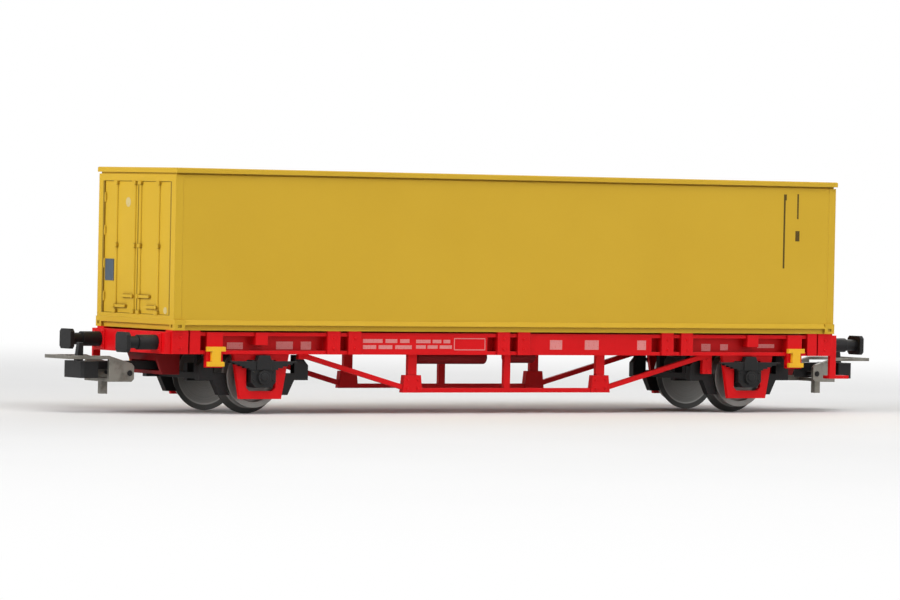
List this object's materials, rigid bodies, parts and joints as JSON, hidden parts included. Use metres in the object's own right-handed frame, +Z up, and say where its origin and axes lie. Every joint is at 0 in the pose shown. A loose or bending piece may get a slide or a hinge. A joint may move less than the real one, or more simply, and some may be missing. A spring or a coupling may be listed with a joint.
{
  "type": "model railway flat wagon with container",
  "caption": "Small-scale model flat wagon on flanged wheelsets, with truss rods, buffers and swinging loop couplers, carrying a lift-off box container.",
  "frame": {"origin": "middle of the wagon on the plane under the wheel flanges", "axes": "+X along the wagon towards the rear (the container doors face -X), +Y to the right side, +Z up"},
  "size_m": [0.1706, 0.0282, 0.0426],
  "materials": {
    "container_paint": "satin yellow ochre moulding",
    "frame_paint": "satin bright red moulding",
    "black_plastic": "matt black moulding",
    "grey_metal": "dull bent sheet metal",
    "wheel_metal": "blackened metal, bright tread",
    "hook_paint": "yellow paint"
  },
  "bodies": {
    "frame": {"air_reservoir": "frame_paint", "axle_box_front_left": "black_plastic", "axle_box_front_right": "black_plastic", "axle_box_rear_left": "black_plastic", "axle_box_rear_right": "black_plastic", "axle_guard_front_left": "frame_paint", "axle_guard_front_right": "frame_paint", "axle_guard_rear_left": "frame_paint", "axle_guard_rear_right": "frame_paint", "brake_cylinder": "frame_paint", "brake_gear_front": "black_plastic", "brake_gear_rear": "black_plastic", "buffer_front_left": "black_plastic", "buffer_front_right": "black_plastic", "buffer_rear_left": "black_plastic", "buffer_rear_right": "black_plastic", "centre_sill": "frame_paint", "container_spigots": "frame_paint", "coupler_pocket_front": "frame_paint", "coupler_pocket_rear": "frame_paint", "cross_bearers": "frame_paint", "end_step_front": "frame_paint", "end_step_rear": "frame_paint", "headstock_front": "frame_paint", "headstock_rear": "frame_paint", "pocket_cover_front": "frame_paint", "pocket_cover_rear": "frame_paint", "rope_hook_front_left": "hook_paint", "rope_hook_front_right": "hook_paint", "rope_hook_rear_left": "hook_paint", "rope_hook_rear_right": "hook_paint", "sole_bar_left": "frame_paint", "sole_bar_right": "frame_paint", "truss_left": "frame_paint", "truss_right": "frame_paint"},
    "wheelset_front": {"axle_front": "wheel_metal", "wheel_front_left": "wheel_metal", "wheel_front_right": "wheel_metal"},
    "wheelset_rear": {"axle_rear": "wheel_metal", "wheel_rear_left": "wheel_metal", "wheel_rear_right": "wheel_metal"},
    "coupler_front": {"coupler_front": "black_plastic"},
    "coupler_rear": {"coupler_rear": "black_plastic"},
    "loop_front": {"coupler_loop_front": "grey_metal"},
    "loop_rear": {"coupler_loop_rear": "grey_metal"},
    "container": {"container_base": "container_paint", "container_door_frame": "container_paint", "container_door_left": "container_paint", "container_door_right": "container_paint", "container_end_wall": "container_paint", "container_roof": "container_paint", "container_side_left": "container_paint", "container_side_right": "container_paint"}
  },
  "joints": [
    {"name": "wheelset_front_spin", "type": "hinge", "parent": "frame", "child": "wheelset_front", "pos_m": [-0.0517, 0, 0.0065], "axis": [0, 1, 0], "continuous": true},
    {"name": "coupler_front_swing", "type": "hinge", "parent": "frame", "child": "coupler_front", "pos_m": [-0.0663, 0, 0.0082], "axis": [0, 0, 1], "range_deg": [-10, 10]},
    {"name": "loop_front_lift", "type": "hinge", "parent": "coupler_front", "child": "loop_front", "pos_m": [-0.0733, 0, 0.0069], "axis": [0, 1, 0], "range_deg": [0, 15]},
    {"name": "wheelset_rear_spin", "type": "hinge", "parent": "frame", "child": "wheelset_rear", "pos_m": [0.0517, 0, 0.0065], "axis": [0, 1, 0], "continuous": true},
    {"name": "coupler_rear_swing", "type": "hinge", "parent": "frame", "child": "coupler_rear", "pos_m": [0.0663, 0, 0.0082], "axis": [0, 0, 1], "range_deg": [-10, 10]},
    {"name": "loop_rear_lift", "type": "hinge", "parent": "coupler_rear", "child": "loop_rear", "pos_m": [0.0733, 0, 0.0069], "axis": [0, -1, 0], "range_deg": [0, 15]},
    {"name": "container_lift", "type": "slide", "parent": "frame", "child": "container", "axis": [0, 0, 1], "range_m": [0, 0.035]}
  ]
}
